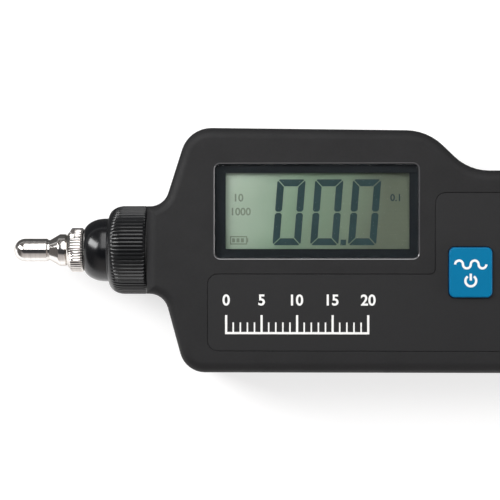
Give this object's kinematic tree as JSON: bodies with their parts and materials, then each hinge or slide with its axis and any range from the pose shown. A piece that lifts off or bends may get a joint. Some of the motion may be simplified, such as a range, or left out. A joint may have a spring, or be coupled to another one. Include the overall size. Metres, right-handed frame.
{
  "type": "vibration meter",
  "caption": "Handheld vibration meter with an offset head and grip, reflective digit display, push button, slide switches and a screw-on probe tip behind a knurled collar.",
  "frame": {"origin": "middle of the bounding box on the back face, which is the plane that the meter lies on", "axes": "+X from the probe tip to the end of the grip, +Y across the display toward its upper edge, +Z out of the face"},
  "size_m": [0.183, 0.0669, 0.03],
  "materials": {
    "body_plastic": "fine matte texture",
    "label": "smooth matt film",
    "window": "clear, polished",
    "mask": "printed black",
    "zinc_screws": "zinc plated",
    "lcd": "grey-green reflective display",
    "lcd_dark": "dark segments",
    "white_plastic": "moulded",
    "pink_rubber": "soft, layered",
    "board": "solder mask",
    "black_plastic": "satin",
    "sheet_metal": "plated",
    "chip": "moulded epoxy",
    "capacitor": "sleeved",
    "trimmer": "moulded",
    "battery": "plain wrapped block",
    "wire": "insulation",
    "foam": "foam pad",
    "gloss_black": "polished",
    "anodised": "black anodised thread",
    "steel": "turned",
    "black_rubber": "matt",
    "piezo": "fired",
    "brass": "rolled",
    "blue_plastic": "satin",
    "nickel": "bright plated",
    "collar_black": "moulded, ribbed"
  },
  "bodies": {
    "meter": {"front_shell": "body_plastic", "rear_shell": "body_plastic", "face_label": "label", "display_window": "window", "window_mask": "mask", "body_screws": "zinc_screws", "board_screws": "zinc_screws", "lcd_cell": "lcd", "lcd_segments": "lcd_dark", "lcd_holder": "white_plastic", "contact_strips": "pink_rubber", "main_board": "board", "tact_switch": "black_plastic", "range_switch": "sheet_metal", "mode_switch": "sheet_metal", "mcu_chip": "chip", "amplifier_chips": "chip", "crystal_can": "sheet_metal", "filter_capacitors": "capacitor", "gain_trimmer": "trimmer", "voltage_regulator": "chip", "lead_header": "white_plastic", "battery_tray": "body_plastic", "battery_block": "battery", "battery_terminals": "sheet_metal", "battery_snap": "black_plastic", "battery_leads": "wire", "battery_pad": "foam", "sensor_nose": "gloss_black", "sensor_barrel": "anodised", "sensor_base": "steel", "isolator_rings": "black_rubber", "piezo_discs": "piezo", "electrode_shim": "brass", "seismic_mass": "steel", "preload_bolt": "steel", "sensor_lead": "wire"},
    "button": {"power_button": "blue_plastic", "tact_plunger": "white_plastic"},
    "range_slider": {"range_knob": "black_plastic"},
    "mode_slider": {"mode_knob": "black_plastic"},
    "door": {"battery_door": "body_plastic"},
    "washer": {"tip_washer": "steel"},
    "tip": {"probe_tip": "nickel", "grip_ring": "nickel"},
    "seal": {"collar_seal": "black_rubber"},
    "collar": {"probe_collar": "collar_black"}
  },
  "joints": [
    {"name": "button_press", "type": "slide", "parent": "meter", "child": "button", "axis": [0, 0, -1], "range_m": [0, 0.0005], "stiffness_N_per_m": 600, "springref_m": -0.0005},
    {"name": "range_slide", "type": "slide", "parent": "meter", "child": "range_slider", "axis": [1, 0, 0], "range_m": [0, 0.002]},
    {"name": "mode_slide", "type": "slide", "parent": "meter", "child": "mode_slider", "axis": [1, 0, 0], "range_m": [0, 0.004]},
    {"name": "door_slide", "type": "slide", "parent": "meter", "child": "door", "axis": [1, 0, 0], "range_m": [0, 0.0575]},
    {"name": "tip_turn", "type": "hinge", "parent": "meter", "child": "washer", "pos_m": [-0.0716, 0, 0.0144], "axis": [-1, 0, 0], "range_deg": [0, 2250]},
    {"name": "tip_advance", "type": "slide", "parent": "washer", "child": "tip", "axis": [-1, 0, 0], "range_m": [0, 0.005]},
    {"name": "collar_turn", "type": "hinge", "parent": "meter", "child": "seal", "pos_m": [-0.0533, 0, 0.0144], "axis": [-1, 0, 0], "range_deg": [0, 2520]},
    {"name": "collar_advance", "type": "slide", "parent": "seal", "child": "collar", "axis": [-1, 0, 0], "range_m": [0, 0.007]}
  ],
  "couplings": [
    {"joint": "tip_turn", "follows": "tip_advance", "rad_per_m": 7854},
    {"joint": "collar_turn", "follows": "collar_advance", "rad_per_m": 6283.2}
  ]
}
